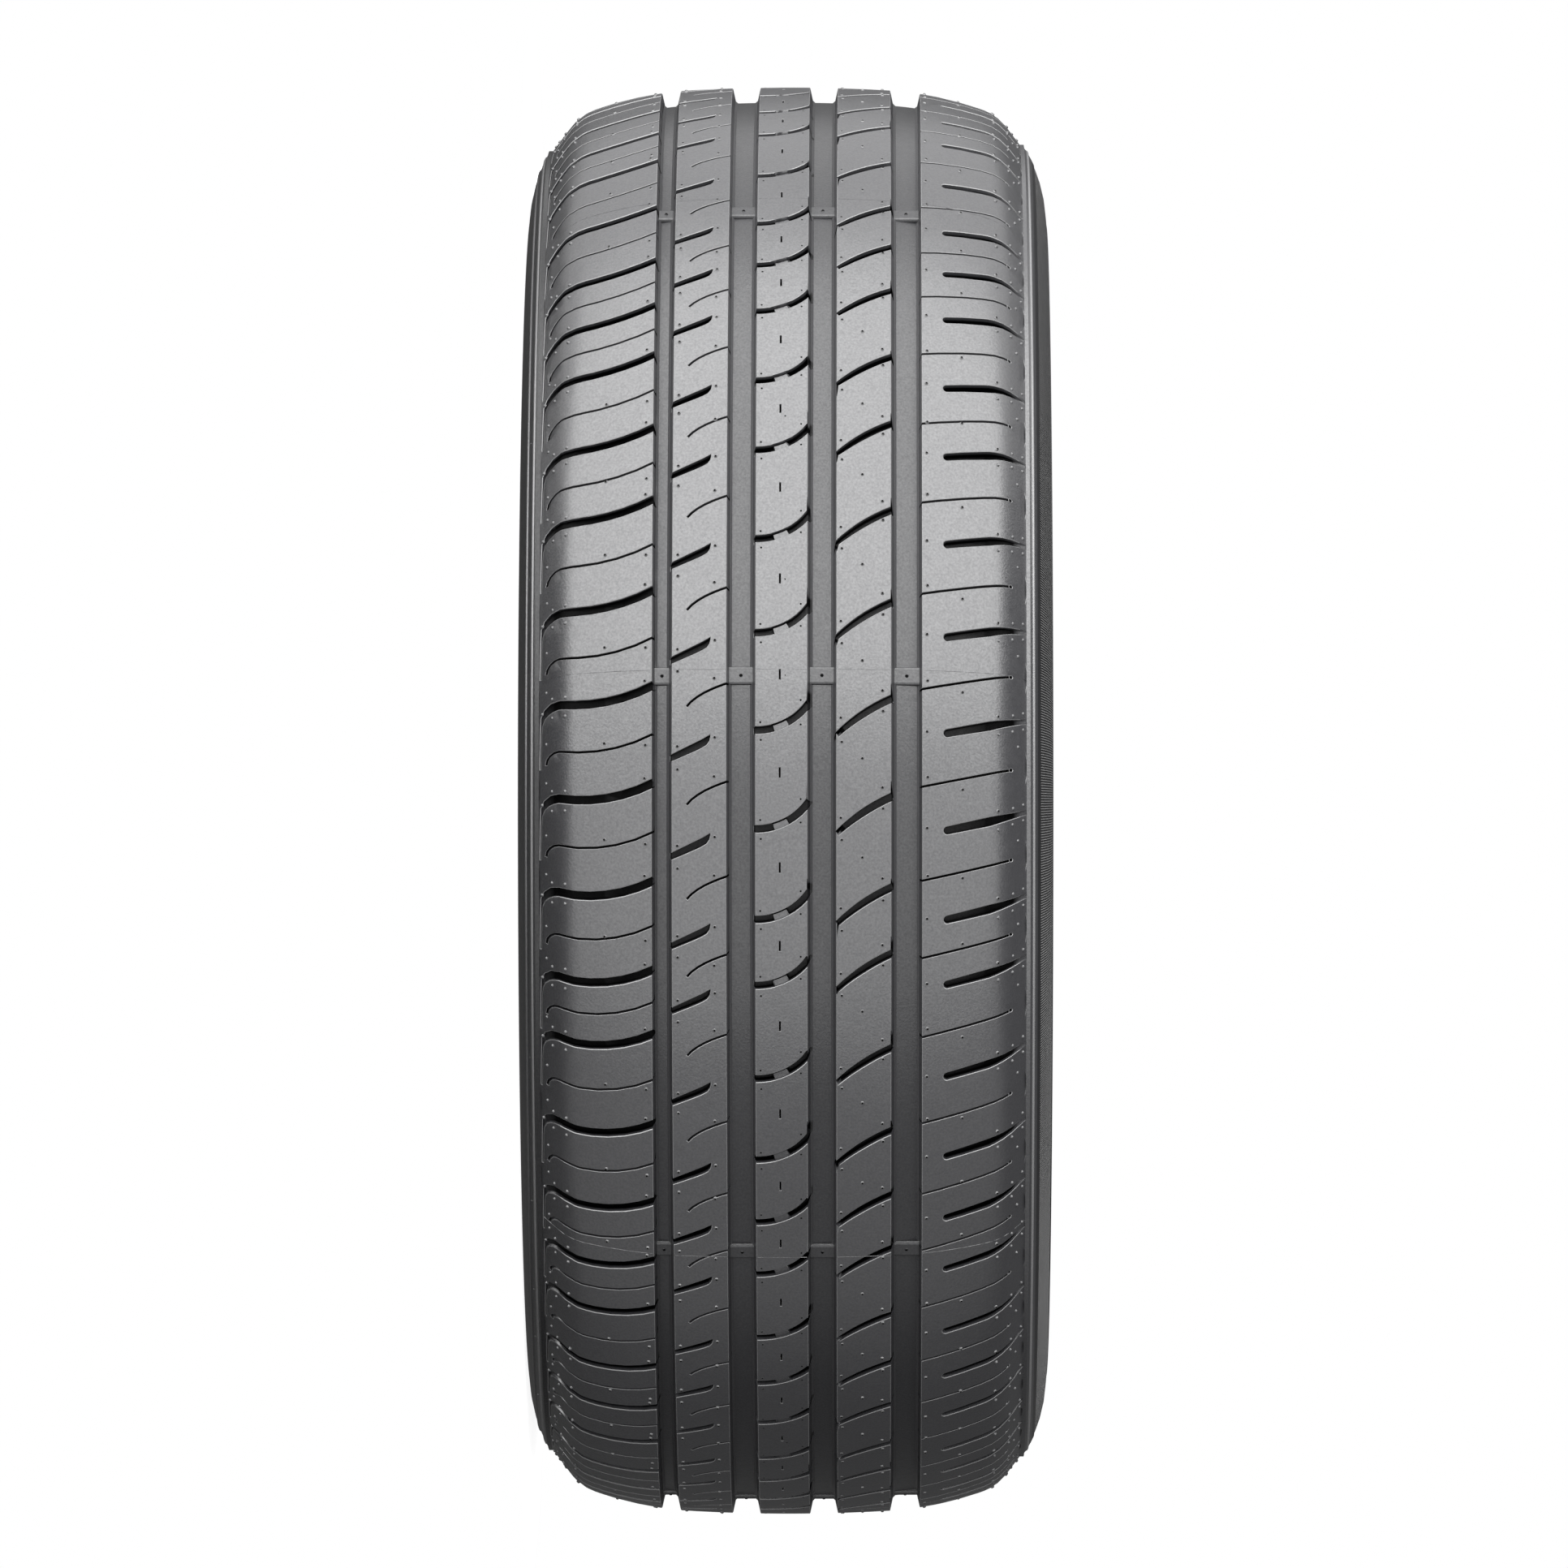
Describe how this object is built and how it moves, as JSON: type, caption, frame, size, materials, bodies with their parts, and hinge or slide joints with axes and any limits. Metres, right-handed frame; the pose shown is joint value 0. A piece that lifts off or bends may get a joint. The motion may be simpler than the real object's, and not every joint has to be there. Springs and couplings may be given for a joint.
{
  "type": "tyre",
  "caption": "Car tyre with an asymmetric tread: curved cross grooves, sipes, round grooves, ridged shoulders and two beads for a rim.",
  "frame": {"origin": "centre of the tyre, on the axle axis and in the middle plane between the two sidewalls", "axes": "+Z along the axle axis towards the outboard sidewall, which is up as the tyre lies; +X and +Y are radial and the part is round about Z"},
  "size_m": [0.738, 0.738, 0.266],
  "materials": {
    "tyre": "satin moulded black rubber"
  },
  "bodies": {
    "root": {"tyre": "tyre"}
  },
  "joints": []
}
